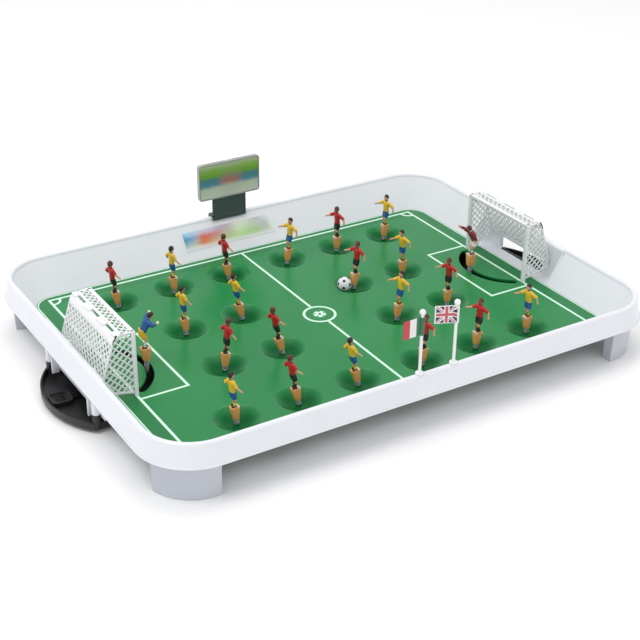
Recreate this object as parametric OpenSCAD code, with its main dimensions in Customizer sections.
// Tabletop spring-football game: a white tray-shaped rim on four corner legs holds a green
// dimpled pitch. Twenty figures stand on coil springs in the dimples, and two goalkeepers ride
// on levers that swing under the pitch. Units are millimetres, +Z is up, +X points at the right
// goal and +Y at the scoreboard side. The origin is on the table, under the centre spot.

/* [Rim] */
// Length over the centre line of the rim's crest
crest_length = 520; // [500:5:560]
// Width over the centre line of the rim's crest
crest_width = 386; // [370:2:420]
// Corner radius of the crest's centre line
corner_r = 45; // [40:1:50]
// Height of the centre of the rounded crest above the table
crest_z = 54; // [52:0.5:56]
// Radius of the rounded crest
crest_r = 3; // [2.6:0.1:3.2]
// Thickness of the rim's moulded walls
wall = 2.2; // [2:0.1:2.6]

/* [Pitch] */
// Height of the playing surface above the table
pitch_z = 21; // [20.5:0.1:21.5]
// Thickness of the pitch panel
pitch_t = 2.5; // [2:0.1:2.5]
// Radius of a dimple where it meets the playing surface
dimple_r = 21.5; // [20:0.5:22.5]
// Depth of a dimple
dimple_depth = 6.5; // [6:0.5:8]
// Distance of the goal lines from the centre line
goal_line_x = 220; // [218:1:221]
// Distance of the outer rows of figures from the long axis
outer_row_y = 124.6; // [120:0.2:127]
// Distance of the inner rows of figures from the long axis
inner_row_y = 39.6; // [37:0.1:42]

/* [Figures] */
// How far the figures wobble from upright on their springs: 1 as found, 0 all upright
wobble = 1; // [0:0.1:1]
// Height of the wedge-shaped block under a figure
block_h = 13; // [12:0.5:14]
// Coil spring's outer radius
spring_r = 3; // [2.6:0.1:3.1]

/* [Goals and trays] */
// Distance between the centre lines of a goal's posts
goal_w = 94; // [88:1:96]
// Height of a goal above the playing surface
goal_h = 65; // [60:1:68]
// Spacing of the bars in a goal's net
net_pitch = 7.5; // [7:0.5:10]
// Distance of a keeper lever's pivot from the centre line
pivot_x = 239; // [238:0.5:240]
// Radius of the keeper's slot about that pivot
slot_r = 49.5; // [48:0.5:51]
// Angle of the left keeper's lever from the long axis, in degrees
left_keeper_deg = -4; // [-40:1:40]
// Angle of the right keeper's lever from the long axis, in degrees
right_keeper_deg = -5; // [-40:1:40]
// Radius of the ball
ball_r = 7.25; // [6.5:0.05:7.5]

/* [Hidden] */
$fn = 48;
eps = 0.01;
half_x = crest_length / 2;
half_y = crest_width / 2;
// Centres of the crest's corner arcs
corner_x = half_x - corner_r;
corner_y = half_y - corner_r;

// The rim's section: offsets are outward from the crest's centre line
foot_in = -23;                     // where the sloped inner wall meets the pitch
ledge_in = -29;                    // inner edge of the ledge that carries the pitch
ledge_t = 2;
ledge_z = pitch_z - pitch_t;       // top of the ledge
ledge_low = ledge_z - ledge_t;
skirt_z = 35;                      // bottom edge of the outer skirt
skirt_out = 6.2;                   // outward draft of the skirt at its lip
lip_out = 7.4;
lip_h = 1.6;
inner_top = -crest_r;
wall_slope = wall + 0.4;           // the sloped wall's thickness along the level

// Goal alcoves in the end walls
alcove_half = 64;
back_wall_x = half_x - 4.8;        // inner face of the upright wall behind a goal
back_wall_t = 3.3;
window_half = 36;
window_top = 34.5;
cheek_t = 2;

// Legs under the corners
leg_in = -12;
leg_top = 34;
leg_relief = 2;                    // keeps the leg's inner top edge clear of the sloped wall
leg_boss_r = 4.5;
leg_boss_in = -6;
screw_r = 1.5;
screw_hole_r = 1.7;
pilot_r = 1.55;
head_r = 3;

// Ball trays
tray_low = 3.4;
tray_floor = 1.6;
tray_rim_z = 10.4;
tray_t = 2;
tray_round_r = 85;                 // the tray's outer wall is an arc of this radius
tray_tip_x = 287;
tray_in_x = 226;
tray_half = 57;
post_x = 261.5;                    // outer support posts
post_y = 53.7;
post_r = 4.2;
post_top = 18.3;
inner_post_x = 244;
inner_post_y = 50;
inner_post_r = 3.6;
inner_post_top = 12.3;
bowl_r = 58;                       // the bowl under the keeper slot
bowl_t = 1.6;
bowl_top = 18.2;

// Keeper levers
pivot_r = 3;
hub_r = 6;
hub_low = 5.6;
hub_top = 14.4;
lever_t = 3;
arm_w = 6;
paddle_in = 24;
paddle_out = 44;
paddle_half = 10;
paddle_round = 4;
slot_half_w = 3.8;
slot_half_deg = 57;

// Dimples are caps of a sphere
dish_r = (dimple_r * dimple_r + dimple_depth * dimple_depth) / (2 * dimple_depth);
dish_low = pitch_z - dimple_depth;
dish_skin = 2;
stud_r = 1.6;
stud_h = 2.1;

// Figures, measured up from the dimple's lowest point
spring_low = 0.8;
block_low = 5.6;
spring_gap = 0.2;
block_top_z = block_low + block_h;
spigot_r = 1.6;
spigot_h = 2.3;
keeper_low = hub_top - 0.6 - block_low + 12.6;  // the keeper's block sits above the slot
keeper_spring_low = hub_top + 0.3;

// Dimple places along each row, then the teams from the left goal to the right one
outer_x = [-161, -98.6, -35.4, 35.4, 98.6, 161];
inner_x = [-127.6, -65.6, 65.6, 127.6];
// Each figure's backward lean, row by row from the far side
far_lean = [8, 3, 7, 6, 0.5, 3.5];
inner_far_lean = [4.5, 11.5, 5.5, -2];
inner_near_lean = [-4.5, 13, 5.5, 0.5];
near_lean = [6.5, 11, 12.5, 4, 4, -0.5];
places = concat([for (i = [0:5]) [outer_x[i], outer_row_y, far_lean[i]]],
                [for (i = [0:3]) [inner_x[i], inner_row_y, inner_far_lean[i]]],
                [for (i = [0:3]) [inner_x[i], -inner_row_y, inner_near_lean[i]]],
                [for (i = [0:5]) [outer_x[i], -outer_row_y, near_lean[i]]]);
red_places = [places[0], places[2], places[4], places[8], places[10], places[11],
              places[13], places[15], places[17], places[18]];
yellow_places = [places[1], places[3], places[5], places[6], places[7], places[9],
                 places[12], places[14], places[16], places[19]];
team_size = 10;

white = "#eef0f6";
black = "#1c1c20";
green = "#2f9a55";
flesh = "#c8854f";
steel = "#c9ccd2";

// ---------- shared shapes ----------

// Sweeps a section round the rim: section x is outward from the crest line, section y is up
module round_the_rim() {
    for (q = [0:3]) {
        across = (q % 2 == 0) ? half_x : half_y;
        along = (q % 2 == 0) ? corner_y : corner_x;
        rotate([0, 0, 90 * q]) translate([across, along, 0]) rotate([90, 0, 0])
            linear_extrude(height = 2 * along) children();
    }
    for (sx = [-1, 1]) for (sy = [-1, 1])
        translate([sx * corner_x, sy * corner_y, 0]) rotate([0, 0, corner_turn(sx, sy)])
            rotate_extrude(angle = 90, $fn = 96) translate([corner_r, 0]) children();
}

function corner_turn(sx, sy) = sx > 0 ? (sy > 0 ? 0 : 270) : (sy > 0 ? 90 : 180);

module rounded_plate(len_x, len_y, r, h) {
    translate([-len_x / 2 + r, -len_y / 2, 0]) cube([len_x - 2 * r, len_y, h]);
    translate([-len_x / 2, -len_y / 2 + r, 0]) cube([len_x, len_y - 2 * r, h]);
    for (sx = [-1, 1]) for (sy = [-1, 1])
        translate([sx * (len_x / 2 - r), sy * (len_y / 2 - r), 0]) cylinder(r = r, h = h);
}

// A block with level top and bottom and four drafted sides
module drafted_block(low_x, low_y, top_x, top_y, h) {
    intersection() {
        translate([0, top_y, 0]) rotate([90, 0, 0]) linear_extrude(height = 2 * top_y)
            polygon([[-low_x / 2, 0], [low_x / 2, 0], [top_x / 2, h], [-top_x / 2, h]]);
        translate([-top_x, 0, 0]) rotate([90, 0, 90]) linear_extrude(height = 2 * top_x)
            polygon([[-low_y / 2, 0], [low_y / 2, 0], [top_y / 2, h], [-top_y / 2, h]]);
    }
}

// A rod from one point to another
module rod(from, to, r) {
    v = to - from;
    level = norm([v[0], v[1]]);
    translate(from) rotate([0, atan2(level, v[2]), atan2(v[1], v[0])])
        cylinder(r = r, h = norm(v), $fn = 20);
}

module on_each_side() {
    for (turn = [0, 180]) rotate([0, 0, turn]) children();
}

module screw(length, head_h) {
    cylinder(r = head_r, h = head_h);
    translate([0, 0, head_h - eps]) cylinder(r = screw_r, h = length - head_h + eps);
}

// ---------- rim ----------

module rim_section() {
    polygon([
        [ledge_in, ledge_low], [ledge_in, ledge_z], [foot_in, ledge_z], [foot_in, pitch_z],
        [inner_top, crest_z], [0, crest_z + crest_r / 2], [crest_r, crest_z],
        [skirt_out, skirt_z + 2 * lip_h], [lip_out, skirt_z + lip_h], [lip_out, skirt_z],
        [lip_out - wall - 0.8, skirt_z], [skirt_out - wall, skirt_z + 2 * lip_h],
        [crest_r - wall, crest_z - 1], [inner_top + wall_slope + 0.4, crest_z - 1],
        [foot_in + wall_slope, pitch_z - 2], [foot_in + wall_slope, ledge_low]]);
    translate([0, crest_z]) circle(r = crest_r);
}

// Fills the hollow between the two walls, above the legs
module hollow_section() {
    polygon([[leg_in - 0.9, leg_top], [lip_out - 1.6, skirt_z + 0.2],
             [skirt_out - 1.4, skirt_z + 2 * lip_h], [crest_r - 1.4, crest_z - 1.4],
             [inner_top + 1.8, crest_z - 1.4]]);
}

module corner_ribs() {
    rib_deg = 2.6;
    for (sx = [-1, 1]) for (sy = [-1, 1]) for (at = [14, 45 - rib_deg / 2, 76 - rib_deg])
        translate([sx * corner_x, sy * corner_y, 0])
            rotate([0, 0, corner_turn(sx, sy) + at])
                rotate_extrude(angle = rib_deg, $fn = 96) translate([corner_r, 0]) hollow_section();
}

module at_leg_bosses() {
    reach = (corner_r + leg_boss_in) * sqrt(0.5);
    for (sx = [-1, 1]) for (sy = [-1, 1])
        translate([sx * (corner_x + reach), sy * (corner_y + reach), 0]) children();
}

module alcove_cut() {
    translate([half_x + ledge_in - 1, -alcove_half, ledge_z])
        cube([back_wall_x + 2.2 - (half_x + ledge_in - 1), 2 * alcove_half, crest_z]);
}

module alcove_walls() {
    difference() {
        translate([back_wall_x, -alcove_half - cheek_t, ledge_low])
            cube([back_wall_t, 2 * (alcove_half + cheek_t), crest_z + 1.2 - ledge_low]);
        translate([back_wall_x - 1, -window_half, ledge_z])
            cube([back_wall_t + 2, 2 * window_half, window_top - ledge_z]);
        for (y = [-30, 30]) translate([back_wall_x - 1, y, 45]) rotate([0, 90, 0])
            cylinder(r = 1.5, h = back_wall_t + 2);
    }
    // sill
    translate([half_x + foot_in - 1, -alcove_half - cheek_t, ledge_low])
        cube([back_wall_x + back_wall_t - (half_x + foot_in - 1),
              2 * (alcove_half + cheek_t), ledge_t]);
    // cheeks
    for (y = [-alcove_half - cheek_t, alcove_half])
        translate([half_x, y + cheek_t, 0]) rotate([90, 0, 0]) linear_extrude(height = cheek_t)
            polygon([[foot_in, ledge_low], [foot_in, pitch_z], [inner_top, crest_z],
                     [inner_top + 1, ledge_low]]);
}

module tray_bosses() {
    for (sy = [-1, 1]) {
        translate([post_x, sy * post_y, post_top + 0.1]) cylinder(r = 3.9, h = 21.5);
        translate([inner_post_x, sy * inner_post_y, inner_post_top + 0.1])
            cylinder(r = inner_post_r, h = ledge_low - inner_post_top + 0.5);
        // stiffening ribs beside the tray
        translate([post_x - 4, sy * 42 - 1.2, 11]) cube([7.2, 2.4, 33]);
    }
}

module tray_boss_bores() {
    for (sy = [-1, 1]) {
        // recess in the back wall for the tray's sleeve
        translate([post_x, sy * post_y, ledge_low - 1])
            cylinder(r = post_r + 0.15, h = post_top + 1.1 - ledge_low);
        translate([post_x, sy * post_y, post_top - 1]) cylinder(r = pilot_r, h = 14);
        translate([inner_post_x, sy * inner_post_y, inner_post_top - 1])
            cylinder(r = pilot_r, h = 5.2);
    }
}

flag_x = 18.2;
socket_r = 1.48;
lug_x = [-145, 0, 145];
lug_w = 9;

module rim_frame() color(white) {
    difference() {
        union() {
            difference() {
                round_the_rim() rim_section();
                on_each_side() alcove_cut();
            }
            on_each_side() alcove_walls();
            on_each_side() tray_bosses();
            corner_ribs();
            at_leg_bosses() translate([0, 0, leg_top]) cylinder(r = leg_boss_r, h = 7);
            for (x = [-flag_x, flag_x]) translate([x, -half_y, crest_z - 12])
                cylinder(r = 2.9, h = 12.4);
        }
        on_each_side() tray_boss_bores();
        at_leg_bosses() translate([0, 0, leg_top - 1]) cylinder(r = pilot_r, h = 7.6);
        for (x = [-flag_x, flag_x]) translate([x, -half_y, crest_z - 8])
            cylinder(r = socket_r, h = 20);
        // slots for the pitch panel's snap lugs
        for (x = lug_x) for (sy = [-1, 1])
            translate([x - lug_w / 2 - 0.5, sy * (half_y - 26.2) - 1.9, ledge_low - 1])
                cube([lug_w + 1, 3.8, ledge_t + 2]);
    }
}

// ---------- pitch ----------

pitch_gap = 0.3;
pitch_corner_r = corner_r + foot_in;

module keeper_slot() {
    translate([pivot_x, 0, 0]) {
        rotate([0, 0, 180 - slot_half_deg]) rotate_extrude(angle = 2 * slot_half_deg, $fn = 96)
            translate([slot_r - slot_half_w, ledge_z - 1]) square([2 * slot_half_w, pitch_t + 2]);
        for (s = [-1, 1]) rotate([0, 0, 180 + s * slot_half_deg])
            translate([slot_r, 0, ledge_z - 1]) cylinder(r = slot_half_w, h = pitch_t + 2);
    }
}

module snap_lug() {
    translate([-lug_w / 2, -1.5, 13.5]) cube([lug_w, 3, ledge_z - 13.5 + eps]);
    translate([-lug_w / 2, 0, 0]) rotate([90, 0, 90]) linear_extrude(height = lug_w)
        polygon([[-1.5, 13.5], [3, 13.5], [6.2, 14.8], [6.2, 16.2], [1, 16.2], [-1.5, 15]]);
}

module pitch_panel() color(green) {
    difference() {
        union() {
            translate([0, 0, ledge_z])
                rounded_plate(2 * (half_x + foot_in - pitch_gap), 2 * (half_y + foot_in - pitch_gap),
                              pitch_corner_r - pitch_gap, pitch_t);
            for (p = places) translate([p[0], p[1], dish_low + dish_r]) intersection() {
                sphere(r = dish_r + dish_skin, $fn = 64);
                translate([-30, -30, -dish_r - 5]) cube([60, 60, 5 + dimple_depth - 1]);
            }
            for (x = lug_x) for (sy = [0, 180]) rotate([0, 0, sy])
                translate([x, half_y - 26.2, 0]) snap_lug();
        }
        for (p = places) translate([p[0], p[1], dish_low + dish_r]) sphere(r = dish_r, $fn = 64);
        on_each_side() keeper_slot();
        on_each_side() for (y = [-goal_w / 2, goal_w / 2])
            translate([goal_line_x, y, ledge_z - 1]) cylinder(r = 1.6, h = pitch_t + 2);
    }
    for (p = places) translate([p[0], p[1], dish_low - 0.3]) cylinder(r = stud_r, h = stud_h + 0.3);
}

// ---------- legs ----------

// How far the leg stops short of the short side, and how far it runs on along the long side
leg_trim_deg = 12;
leg_run = 4;

module leg_section() {
    polygon([[corner_r + leg_in, 0.8], [corner_r + leg_in + 0.8, 0], [corner_r - 1.8, 0],
             [corner_r - 0.9, 0.9], [corner_r - 0.1, leg_top],
             [corner_r + leg_in + leg_relief, leg_top],
             [corner_r + leg_in, leg_top - 2 * leg_relief]]);
}

// The leg at the front right or back left corner
module corner_leg(sx, sy) {
    reach = (corner_r + leg_boss_in) * sqrt(0.5);
    translate([sx * corner_x, sy * corner_y, 0]) difference() {
        union() {
            rotate([0, 0, corner_turn(sx, sy)])
                rotate_extrude(angle = 90 - leg_trim_deg, $fn = 96) leg_section();
            translate([-sx * leg_run / 2, 0, 0]) rotate([0, 0, sy * 90]) rotate([90, 0, 0])
                linear_extrude(height = leg_run, center = true) leg_section();
        }
        translate([sx * reach, sy * reach, -1]) cylinder(r = head_r + 0.6, h = 23);
        translate([sx * reach, sy * reach, -1]) cylinder(r = screw_hole_r, h = leg_top + 2);
    }
}

module leg(sx, sy) color(white) {
    if (sx * sy > 0) mirror([1, 0, 0]) corner_leg(-sx, sy);
    else corner_leg(sx, sy);
}

module leg_screws() color(steel) at_leg_bosses() translate([0, 0, 20]) screw(20, 2);

// ---------- goals ----------

post_w = 4;
panel_t = 1.6;
rear_top_x = 240;
rear_low_x = back_wall_x - 1.6;
top_z = pitch_z + goal_h;
rear_bar_z = 37;
net_bar = 1.3;

// Crossed diagonal bars over a w by h rectangle
module net_bars(w, h) {
    count = ceil((w + h) / (net_pitch * sqrt(2))) + 1;
    for (i = [-count:count]) for (turn = [45, -45])
        translate([w / 2 + i * net_pitch * sqrt(2), h / 2]) rotate(turn)
            square([net_bar, 2 * (w + h)], center = true);
}

// A framed net: its outline is the child, and it fits a w by h rectangle
module net_panel(w, h) {
    linear_extrude(height = panel_t) intersection() {
        children();
        net_bars(w, h);
    }
}

// The side net's outline: x is back from the goal line, y is up from the table
corner_round = 8;
function rear_arc(r, from, step) = [for (i = [0:5])
    [rear_top_x - goal_line_x - corner_round + r * cos(from + i * step),
     top_z - corner_round + r * sin(from + i * step)]];
side_outline = concat(
    [[0, pitch_z + 2.5], [0, top_z]], rear_arc(corner_round, 90, -15),
    [[rear_low_x - goal_line_x, rear_bar_z], [rear_low_x - goal_line_x, pitch_z + 9]]);

module side_frame() {
    t = 2;
    deep = rear_low_x - goal_line_x;
    difference() {
        polygon(side_outline);
        polygon(concat([[t, pitch_z + 2.5 + t], [t, top_z - t]],
            rear_arc(corner_round - t, 90, -15),
            [[deep - t, rear_bar_z], [deep - t, pitch_z + 9 + t]]));
    }
}

module goal_side() {
    linear_extrude(height = panel_t) side_frame();
    net_panel(34, top_z) polygon(side_outline);
}

module goal_right_shape() {
    half = goal_w / 2;
    // posts with pegs, and the crossbar
    for (sy = [-1, 1]) {
        translate([goal_line_x - post_w / 2, sy * half - post_w / 2, pitch_z])
            cube([post_w, post_w, goal_h]);
        translate([goal_line_x, sy * half, ledge_z]) cylinder(r = 1.4, h = pitch_t + 1);
        translate([goal_line_x, sy * (half + 0.2) + panel_t / 2, 0]) rotate([90, 0, 0]) goal_side();
        translate([rear_low_x - 1, sy * 30, 45]) rotate([0, 90, 0]) cylinder(r = 1.3, h = 6);
        translate([rear_low_x - 4, sy * 30 - 3, 42]) cube([4, 6, 6]);
    }
    translate([goal_line_x - post_w / 2, -half, top_z - post_w]) cube([post_w, goal_w, post_w]);
    // top: net, middle bar, three windows, rear bar
    translate([goal_line_x, -half, top_z - panel_t]) net_panel(11, goal_w) square([11, goal_w]);
    translate([goal_line_x + 10, -half, top_z - panel_t]) difference() {
        cube([rear_top_x - goal_line_x - 17, goal_w, panel_t]);
        for (y = [-31, 0, 31]) translate([2.4, half + y - 8, -1]) cube([2.6, 16, panel_t + 2]);
    }
    // back net, which leans out to the rear bar above the window
    slope_x = rear_low_x - rear_top_x;
    slope_z = top_z - corner_round - rear_bar_z;
    slope = norm([slope_x, slope_z]);
    translate([rear_low_x, 0, rear_bar_z]) rotate([0, -atan2(slope_x, slope_z), 0])
        translate([-panel_t, half, 0]) rotate([90, 0, 90]) mirror([1, 0, 0]) {
            net_panel(goal_w, slope) square([goal_w, slope + 2]);
            for (z = [0, slope - 1]) translate([0, z, 0]) cube([goal_w, 2.4, panel_t]);
        }
    // rounded bar where the top meets the back
    translate([goal_line_x, half, 0]) rotate([90, 0, 0]) linear_extrude(height = goal_w)
        polygon(concat(rear_arc(corner_round, 90, -15), rear_arc(corner_round - panel_t, 15, 15)));
}

module goal_right() color(white) goal_right_shape();
module goal_left() color(white) rotate([0, 0, 180]) goal_right_shape();

// ---------- ball trays ----------

module tray_outline(shrink) {
    intersection() {
        translate([tray_tip_x - tray_round_r, 0]) circle(r = tray_round_r - shrink, $fn = 96);
        translate([tray_in_x + shrink, -tray_half + shrink])
            square([tray_tip_x - tray_in_x, 2 * (tray_half - shrink)]);
    }
}

// Closes the keeper slot from below: a floor and a round wall on the pitch side of the pivot
module slot_bowl() {
    difference() {
        translate([pivot_x, 0, tray_low]) cylinder(r = bowl_r, h = bowl_top - tray_low, $fn = 96);
        translate([pivot_x, 0, tray_low + tray_floor]) cylinder(r = bowl_r - bowl_t, h = bowl_top, $fn = 96);
        translate([tray_in_x + tray_t, -bowl_r - 1, 0]) cube([80, 2 * bowl_r + 2, 40]);
        // room for the levers to pass over the tray's inner wall
        translate([tray_in_x - 4, -tray_half + tray_t, tray_rim_z]) cube([20, 2 * (tray_half - tray_t), 20]);
    }
}

module ball_tray_shape() {
    difference() {
        union() {
            difference() {
                translate([0, 0, tray_low]) linear_extrude(height = tray_rim_z - tray_low)
                    tray_outline(0);
                translate([0, 0, tray_low + tray_floor]) linear_extrude(height = tray_rim_z)
                    tray_outline(tray_t);
            }
            for (sy = [-1, 1]) {
                translate([post_x, sy * post_y, tray_low]) cylinder(r = post_r, h = post_top - tray_low);
                translate([inner_post_x, sy * inner_post_y, tray_low])
                    cylinder(r = inner_post_r, h = inner_post_top - tray_low);
            }
            slot_bowl();
            translate([pivot_x, 0, tray_low]) cylinder(r = pivot_r, h = 14.8 - tray_low);
            translate([pivot_x, 0, tray_low]) cylinder(r = 5, h = hub_low - 0.2 - tray_low);
        }
        for (sy = [-1, 1]) {
            translate([post_x, sy * post_y, tray_low - 1]) {
                cylinder(r = screw_hole_r, h = 20);
                cylinder(r = head_r + 0.3, h = 4.4);
            }
            translate([inner_post_x, sy * inner_post_y, tray_low - 1]) {
                cylinder(r = screw_hole_r, h = 20);
                cylinder(r = head_r + 0.2, h = 4.4);
            }
        }
        translate([pivot_x, 0, tray_low + 2]) cylinder(r = 1.05, h = 14);
    }
}

module ball_tray_right() color(black) ball_tray_shape();
module ball_tray_left() color(black) rotate([0, 0, 180]) ball_tray_shape();

module tray_screws() color(steel) on_each_side() for (sy = [-1, 1]) {
    translate([post_x, sy * post_y, tray_low + 1.4]) screw(24, 2);
    translate([inner_post_x, sy * inner_post_y, tray_low + 1.4]) screw(11.4, 2);
}

// ---------- keeper levers ----------

// Points along -X to the keeper and along +X to the paddle, about its pivot
module lever_shape() {
    difference() {
        union() {
            translate([0, 0, hub_low]) cylinder(r = hub_r, h = hub_top - hub_low);
            translate([0, -arm_w / 2, hub_low]) cube([paddle_in + 2, arm_w, lever_t]);
            translate([(paddle_in + paddle_out) / 2, 0, hub_low])
                rounded_plate(paddle_out - paddle_in, 2 * paddle_half, paddle_round, lever_t + 1);
            translate([-slot_r, -arm_w / 2, hub_top - lever_t]) cube([slot_r, arm_w, lever_t]);
            translate([-slot_r, 0, hub_top - lever_t]) cylinder(r = 5, h = lever_t);
            translate([-slot_r, 0, hub_top - 1]) cylinder(r = stud_r, h = 1 + stud_h);
        }
        translate([0, 0, hub_low - 1]) cylinder(r = pivot_r + 0.08, h = hub_top);
        translate([(paddle_in + paddle_out) / 2, 0, hub_low + 1.8])
            rounded_plate(paddle_out - paddle_in - 4, 2 * paddle_half - 4, paddle_round - 2, 5);
    }
}

module on_lever_right() {
    translate([pivot_x, 0, 0]) rotate([0, 0, right_keeper_deg]) children();
}
module on_lever_left() {
    translate([-pivot_x, 0, 0]) rotate([0, 0, 180 + left_keeper_deg]) children();
}

module keeper_lever_right() color(black) on_lever_right() lever_shape();
module keeper_lever_left() color(black) on_lever_left() lever_shape();

module pivot_screws() color(steel) on_each_side() translate([pivot_x, 0, 0]) {
    translate([0, 0, 14.9]) cylinder(r = 4.6, h = 1.1);
    translate([0, 0, 7]) cylinder(r = 1, h = 8);
}

// ---------- scoreboard ----------

board_w = 73;
board_low = 79.5;
board_h = 40.5;
board_t = 5;
board_y = half_y - 8;              // front face
bracket_w = 40;
bracket_y = half_y - 6.4;
bracket_t = 2.4;

module score_bracket() color("#4a5a57") {
    translate([-bracket_w / 2, bracket_y, crest_z - 0.5])
        cube([bracket_w, bracket_t, board_low - crest_z + 0.4]);
    translate([-13, bracket_y + 0.4, board_low - 1]) cube([26, 1.6, 17]);
    translate([-bracket_w / 2, bracket_y, crest_z + crest_r + 0.15]) cube([bracket_w, 12.2, 2]);
    translate([-bracket_w / 2, half_y + 4.2, crest_z - 4]) cube([bracket_w, 1.6, 9.15]);
}

module upright_plate(w, r, t) {
    translate([0, t, board_h / 2]) rotate([90, 0, 0]) rounded_plate(w, board_h, r, t);
}

module score_frame() color("#c9cfce") translate([0, board_y, board_low]) difference() {
    upright_plate(board_w, 3.5, board_t);
    // pocket for the card
    translate([-board_w / 2 + 2, -1, 2]) cube([board_w - 4, 2.2, board_h - 4]);
    // tab slots in the top edge
    for (x = [-17, 17]) translate([x - 11, 2, board_h - 6]) cube([22, 1.4, 8]);
    // socket for the bracket's tongue
    translate([-13.2, bracket_y + 0.2 - board_y, -1]) cube([26.4, 2, 17.2]);
}

module score_card() color("#7fae62")
    translate([-board_w / 2 + 2.3, board_y + 0.4, board_low + 2.3]) cube([board_w - 4.6, 0.7, board_h - 4.6]);

// ---------- sticker ----------

sticker_w = 108;
sticker_h = 20;
wall_lean = atan2(inner_top - foot_in, crest_z - pitch_z);

module wall_sticker() color("#a9c48a")
    translate([-4, half_y + foot_in, pitch_z]) rotate([-wall_lean, 0, 0])
        translate([-sticker_w / 2, -0.3, 11]) cube([sticker_w, 0.25, sticker_h]);

// ---------- flags ----------

pole_r = 1.4;
pole_top = 115.5;
finial_r = 2.8;
flag_w = 18;
flag_h = 17;
flag_t = 0.8;

module flag_pole(x) color(white) translate([x, -half_y, 0]) {
    translate([0, 0, crest_z - 7]) cylinder(r = pole_r, h = pole_top - crest_z + 7);
    translate([0, 0, crest_z + crest_r + 0.1]) cylinder(r = 3.8, h = 1.6);
    translate([0, 0, pole_top + 1.6]) sphere(r = finial_r);
}

module flag(x, z, turn) {
    translate([x, -half_y, z]) rotate([0, 0, turn]) difference() {
        union() {
            translate([-flag_w - pole_r, -flag_t / 2, 0]) cube([flag_w + pole_r, flag_t, flag_h]);
            cylinder(r = pole_r + 0.9, h = flag_h);
        }
        translate([0, 0, -1]) cylinder(r = pole_r + 0.02, h = flag_h + 2);
    }
}

module flag_pole_left() flag_pole(-flag_x);
module flag_pole_right() flag_pole(flag_x);
module flag_left() color("#c23b35") flag(-flag_x, 95.5, 0);
module flag_right() color("#3a4a9a") flag(flag_x, 97.2, -24);

// ---------- ball ----------

ball_off = [-12.1, -1.4];
ball_path_r = dish_r - ball_r - 0.05;

module ball() color("#f2f2f2")
    translate([places[8][0] + ball_off[0], places[8][1] + ball_off[1],
               dish_low + dish_r - sqrt(ball_path_r * ball_path_r - ball_off * ball_off)])
        sphere(r = ball_r, $fn = 64);

// ---------- springs and figures ----------

module coil_spring(low, top) {
    turns = 5;
    rise = (top - low - 0.8) / turns;
    difference() {
        union() {
            translate([0, 0, low]) cylinder(r = spring_r - 0.4, h = top - low);
            for (i = [0:turns]) translate([0, 0, low + i * rise]) cylinder(r = spring_r, h = 0.8);
        }
        translate([0, 0, low - 1]) cylinder(r = spring_r - 0.85, h = top - low + 2);
    }
}

// Places its child in a dimple, facing the centre line and leaning on its spring
module standing(p) {
    translate([p[0], p[1], dish_low]) rotate([0, 0, p[0] < 0 ? 0 : 180])
        rotate([0, -wobble * p[2], 0]) children();
}

module player_springs() color(steel)
    for (p = places) standing(p) coil_spring(spring_low, block_low - spring_gap);

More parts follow.
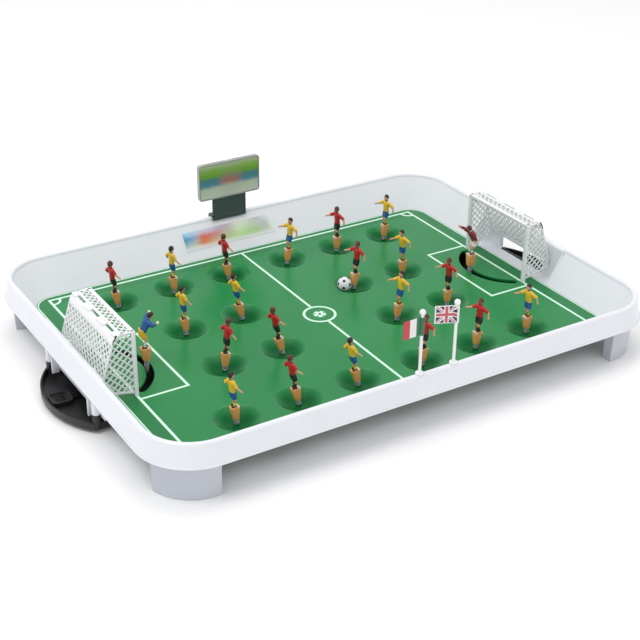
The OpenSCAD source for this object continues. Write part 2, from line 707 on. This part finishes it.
// A figure that faces +X on its block, bent forward at the hip. Hands are given from the shoulders.
module figure(shirt, shorts, socks, right_hand, left_hand, bend) {
    top = block_top_z;
    hip = top + 13.5;
    neck = 14.6;
    fore = 0.4;
    shoulder = neck - 1.6;
    color(flesh) {
        translate([0, 0, block_low]) drafted_block(5, 4.4, 8, 6.4, block_h);
        translate([0, 0, block_low - spigot_h]) cylinder(r = spigot_r, h = spigot_h + eps);
    }
    color(socks) {
        rod([-0.9, -1.7, top], [fore / 2, -1.6, hip], 1.4);
        rod([0.3, 1.7, top], [fore / 2, 1.6, hip], 1.4);
    }
    color(black) for (sy = [-1, 1])
        translate([-0.3 + 0.6 * sy, 1.7 * sy, top + 0.9 - eps]) cube([4.4, 2.2, 1.9], center = true);
    color(shorts) translate([fore / 2, 0, hip - 4]) drafted_block(4.6, 7.4, 4, 5.6, 8);
    translate([0, 0, hip]) rotate([0, bend, 0]) {
        color(flesh) {
            translate([fore, 0, neck - 1]) cylinder(r = 1.3, h = 3);
            translate([fore, 0, neck + 3.9]) sphere(r = 2.65, $fn = 32);
            rod([fore, -3.4, shoulder], [fore, -3.4, shoulder] + right_hand, 1.05);
            rod([fore, 3.4, shoulder], [fore, 3.4, shoulder] + left_hand, 1.05);
        }
        color(shirt) translate([fore, 0, 3.2]) drafted_block(3.8, 5.4, 4.4, 8.2, neck - 3.2);
    }
}

// The two halves' figures hold their arms differently
module player(p, shirt, shorts, socks) {
    right_hand = p[0] < 0 ? [4, -4.5, -8.5] : [6.2, -7.2, -4.2];
    left_hand = p[0] < 0 ? [-3, 6, -4.5] : [-3.2, 7, -7];
    standing(p) figure(shirt, shorts, socks, right_hand, left_hand, 1);
}

module red_player(i) player(red_places[i], "#b01818", "#1a1a1a", "#2a2420");
module yellow_player(i) player(yellow_places[i], "#e8c020", "#1a5fa8", "#d8b030");

// Stands a keeper on the lever's pad, tipped forward by tip degrees at its spring's top
module keeper_stand(tip) {
    translate([-slot_r, 0, keeper_low + block_low]) rotate([0, tip, 180])
        translate([0, 0, -block_low]) children();
}

module keeper_left() on_lever_left() keeper_stand(-2)
    figure("#1a5fa8", "#e8c020", "#f0f0f0", [6, -2.5, 1.5], [2, 2.5, 6], 27);
module keeper_right() on_lever_right() keeper_stand(-5)
    figure("#7a1424", "#f0f0f0", "#f0f0f0", [5, -6, 7], [3, 3, -6], 30);

module keeper_spring() color(steel) translate([-slot_r, 0, 0])
    coil_spring(keeper_spring_low, keeper_low + block_low - 0.7);
module keeper_spring_left() on_lever_left() keeper_spring();
module keeper_spring_right() on_lever_right() keeper_spring();

// ---------- nodes ----------

rim_frame();
pitch_panel();
leg(-1, -1);  // leg_front_left
leg(1, -1);  // leg_front_right
leg(-1, 1);  // leg_back_left
leg(1, 1);  // leg_back_right
leg_screws();
goal_left();
goal_right();
ball_tray_left();
ball_tray_right();
tray_screws();
keeper_lever_left();
keeper_lever_right();
pivot_screws();
score_bracket();
score_frame();
score_card();
wall_sticker();
flag_pole_left();
flag_pole_right();
flag_left();
flag_right();
ball();
player_springs();
keeper_spring_left();
keeper_spring_right();
keeper_left();
keeper_right();
for (i = [1:team_size]) {
    red_player(i - 1);
    yellow_player(i - 1);
}
